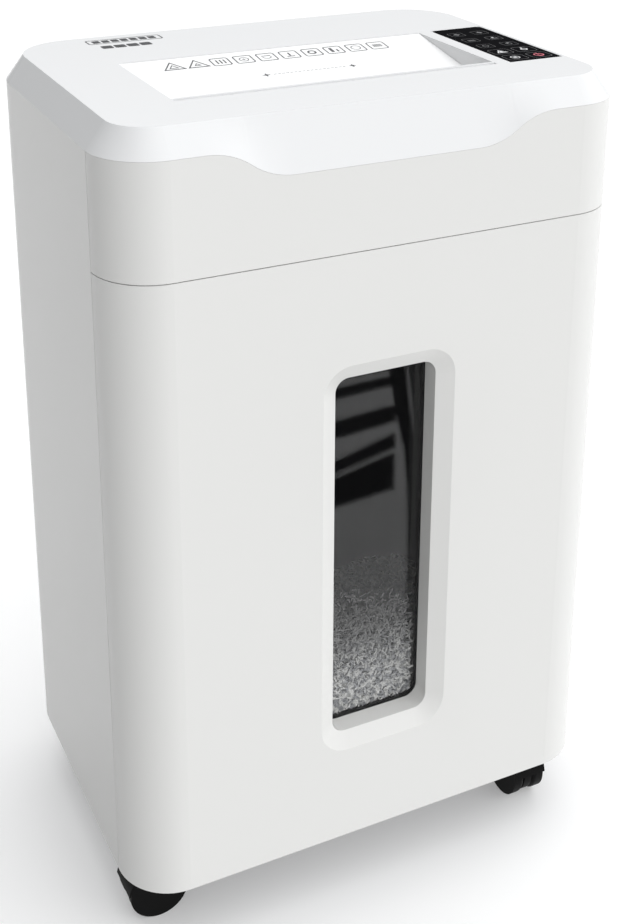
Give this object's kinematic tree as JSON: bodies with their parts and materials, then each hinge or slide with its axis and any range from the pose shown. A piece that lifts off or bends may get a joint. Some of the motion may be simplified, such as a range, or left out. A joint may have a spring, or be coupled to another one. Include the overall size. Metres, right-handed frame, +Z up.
{
  "type": "paper shredder",
  "caption": "Free-standing office paper shredder with a geared twin-shaft cutting head, touch panel, pull-out waste bin with a smoked window, and swivel casters.",
  "frame": {"origin": "on the floor under the middle of the body", "axes": "+Z up, the window and drawer front face -Y, +X to the right seen from the front"},
  "size_m": [0.345, 0.252, 0.556],
  "materials": {
    "white_gloss": "glossy white ABS",
    "white_satin": "satin to gloss white ABS",
    "feed_white": null,
    "panel_black": "black gloss touch overlay",
    "smoked": "smoked transparent plastic",
    "bin_grey": "dark moulded polypropylene",
    "frame_grey": "moulded structural plastic",
    "caster_black": "black moulded nylon",
    "black_plastic": "black moulded plastic",
    "plate_steel": "zinc-plated sheet steel",
    "cutter_steel": "hardened oiled steel",
    "zinc": "bright zinc",
    "bronze": "sintered bronze",
    "gear_nylon": "natural nylon",
    "copper": "enamelled copper",
    "pcb_green": "solder mask"
  },
  "bodies": {
    "cabinet": {"top_cover": "white_gloss", "cabinet_shell": "white_satin", "head_rear_shell": "white_satin", "head_front_panel": "white_satin", "feed_plate": "feed_white", "control_overlay": "panel_black", "cabinet_floor": "frame_grey", "rail_left": "frame_grey", "rail_right": "frame_grey", "mechanism_deck": "frame_grey", "front_comb": "frame_grey", "rear_comb": "frame_grey", "paper_chute": "black_plastic", "paper_sensors": "black_plastic", "interlock_switch": "black_plastic", "power_inlet": "black_plastic", "switch_housing": "black_plastic", "board_components": "black_plastic", "cutter_plate_left": "plate_steel", "cutter_plate_right": "plate_steel", "gear_plate": "plate_steel", "motor_housing": "plate_steel", "motor_end_caps": "plate_steel", "gear_pins": "cutter_steel", "tie_rods": "zinc", "deck_screws": "zinc", "gear_plate_posts": "zinc", "bushes_left": "bronze", "bushes_right": "bronze", "motor_windings": "copper", "control_board": "pcb_green", "power_board": "pcb_green"},
    "drawer": {"drawer_front": "white_satin", "window_pane": "smoked", "waste_bin": "bin_grey", "runner_left": "bin_grey", "runner_right": "bin_grey", "interlock_tab": "bin_grey"},
    "rear_cutter": {"rear_cutter_shaft": "cutter_steel", "rear_cutter_discs": "cutter_steel", "rear_sync_gear": "cutter_steel", "final_gear": "gear_nylon"},
    "front_cutter": {"front_cutter_shaft": "cutter_steel", "front_cutter_discs": "cutter_steel", "front_sync_gear": "cutter_steel"},
    "second_gear": {"second_gear": "gear_nylon"},
    "first_gear": {"first_gear": "gear_nylon"},
    "rotor": {"motor_rotor": "cutter_steel", "motor_pinion": "cutter_steel", "motor_fan": "black_plastic"},
    "rocker": {"switch_rocker": "black_plastic"},
    "plunger": {"interlock_plunger": "black_plastic"},
    "caster_front_left": {"caster_hood_front_left": "caster_black"},
    "wheels_front_left": {"caster_wheels_front_left": "caster_black"},
    "caster_front_right": {"caster_hood_front_right": "caster_black"},
    "wheels_front_right": {"caster_wheels_front_right": "caster_black"},
    "caster_rear_left": {"caster_hood_rear_left": "caster_black"},
    "wheels_rear_left": {"caster_wheels_rear_left": "caster_black"},
    "caster_rear_right": {"caster_hood_rear_right": "caster_black"},
    "wheels_rear_right": {"caster_wheels_rear_right": "caster_black"}
  },
  "joints": [
    {"name": "drawer_slide", "type": "slide", "parent": "cabinet", "child": "drawer", "axis": [0, -1, 0], "range_m": [0, 0.13]},
    {"name": "rear_cutter_spin", "type": "hinge", "parent": "cabinet", "child": "rear_cutter", "pos_m": [0.13, -0.041, 0.505], "axis": [1, 0, 0], "continuous": true},
    {"name": "front_cutter_spin", "type": "hinge", "parent": "cabinet", "child": "front_cutter", "pos_m": [0.13, -0.077, 0.505], "axis": [1, 0, 0], "continuous": true},
    {"name": "second_gear_spin", "type": "hinge", "parent": "cabinet", "child": "second_gear", "pos_m": [0.13, -0.00625, 0.505], "axis": [1, 0, 0], "continuous": true},
    {"name": "first_gear_spin", "type": "hinge", "parent": "cabinet", "child": "first_gear", "pos_m": [0.13, 0.02463, 0.505], "axis": [1, 0, 0], "continuous": true},
    {"name": "rotor_spin", "type": "hinge", "parent": "cabinet", "child": "rotor", "pos_m": [0.13, 0.05287, 0.505], "axis": [1, 0, 0], "continuous": true},
    {"name": "rocker_tilt", "type": "hinge", "parent": "cabinet", "child": "rocker", "pos_m": [-0.051, 0.1185, 0.501], "axis": [1, 0, 0], "range_deg": [0, 14]},
    {"name": "plunger_press", "type": "slide", "parent": "cabinet", "child": "plunger", "axis": [0, 1, 0], "range_m": [0, 0.0015], "stiffness_N_per_m": 150},
    {"name": "swivel_front_left", "type": "hinge", "parent": "cabinet", "child": "caster_front_left", "pos_m": [-0.137, -0.079, 0.05], "axis": [0, 0, 1], "continuous": true},
    {"name": "roll_front_left", "type": "hinge", "parent": "caster_front_left", "child": "wheels_front_left", "pos_m": [-0.1458, -0.079, 0.02], "axis": [0, -1, 0], "continuous": true},
    {"name": "swivel_front_right", "type": "hinge", "parent": "cabinet", "child": "caster_front_right", "pos_m": [0.137, -0.079, 0.05], "axis": [0, 0, 1], "continuous": true},
    {"name": "roll_front_right", "type": "hinge", "parent": "caster_front_right", "child": "wheels_front_right", "pos_m": [0.137, -0.0878, 0.02], "axis": [1, 0, 0], "continuous": true},
    {"name": "swivel_rear_left", "type": "hinge", "parent": "cabinet", "child": "caster_rear_left", "pos_m": [-0.137, 0.079, 0.05], "axis": [0, 0, 1], "continuous": true},
    {"name": "roll_rear_left", "type": "hinge", "parent": "caster_rear_left", "child": "wheels_rear_left", "pos_m": [-0.12873, 0.08201, 0.02], "axis": [-0.342, 0.9397, 0], "continuous": true},
    {"name": "swivel_rear_right", "type": "hinge", "parent": "cabinet", "child": "caster_rear_right", "pos_m": [0.137, 0.079, 0.05], "axis": [0, 0, 1], "continuous": true},
    {"name": "roll_rear_right", "type": "hinge", "parent": "caster_rear_right", "child": "wheels_rear_right", "pos_m": [0.14374, 0.07334, 0.02], "axis": [0.6428, 0.766, 0], "continuous": true}
  ],
  "couplings": [
    {"joint": "front_cutter_spin", "follows": "rear_cutter_spin", "ratio": -1},
    {"joint": "second_gear_spin", "follows": "rear_cutter_spin", "ratio": -2.2857},
    {"joint": "first_gear_spin", "follows": "rear_cutter_spin", "ratio": 5.7143},
    {"joint": "rotor_spin", "follows": "rear_cutter_spin", "ratio": -17.143}
  ]
}
